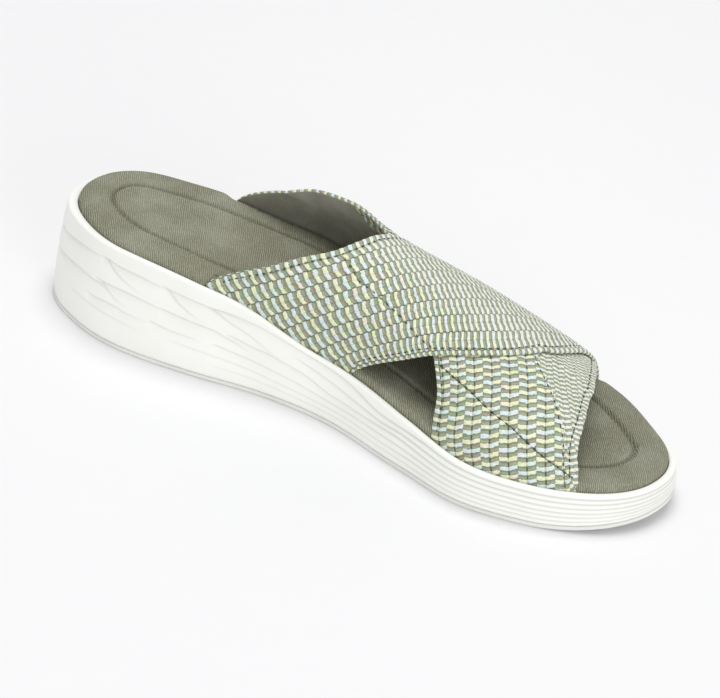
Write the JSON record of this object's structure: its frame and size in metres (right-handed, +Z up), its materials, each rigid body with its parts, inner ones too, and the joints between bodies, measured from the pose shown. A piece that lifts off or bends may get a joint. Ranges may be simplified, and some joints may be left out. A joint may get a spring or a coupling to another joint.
{
  "type": "cross strap sandal",
  "caption": "Slip-on wedge sandal for the left foot: ribbed white sole, padded footbed and two wide woven elastic straps that cross over the instep",
  "frame": {"origin": "on the floor under the middle of the bounding box", "axes": "+X from heel to toe, +Y from the medial to the lateral side, +Z up"},
  "size_m": [0.2614, 0.093, 0.0642],
  "materials": {
    "midsole_foam": "satin moulded foam",
    "outsole_rubber": "matt",
    "footbed_fabric": "fine twill over foam",
    "strap_elastic": "ribbed woven elastic"
  },
  "bodies": {
    "root": {"midsole": "midsole_foam", "outsole": "outsole_rubber", "footbed": "footbed_fabric", "upper": "strap_elastic"}
  },
  "joints": []
}
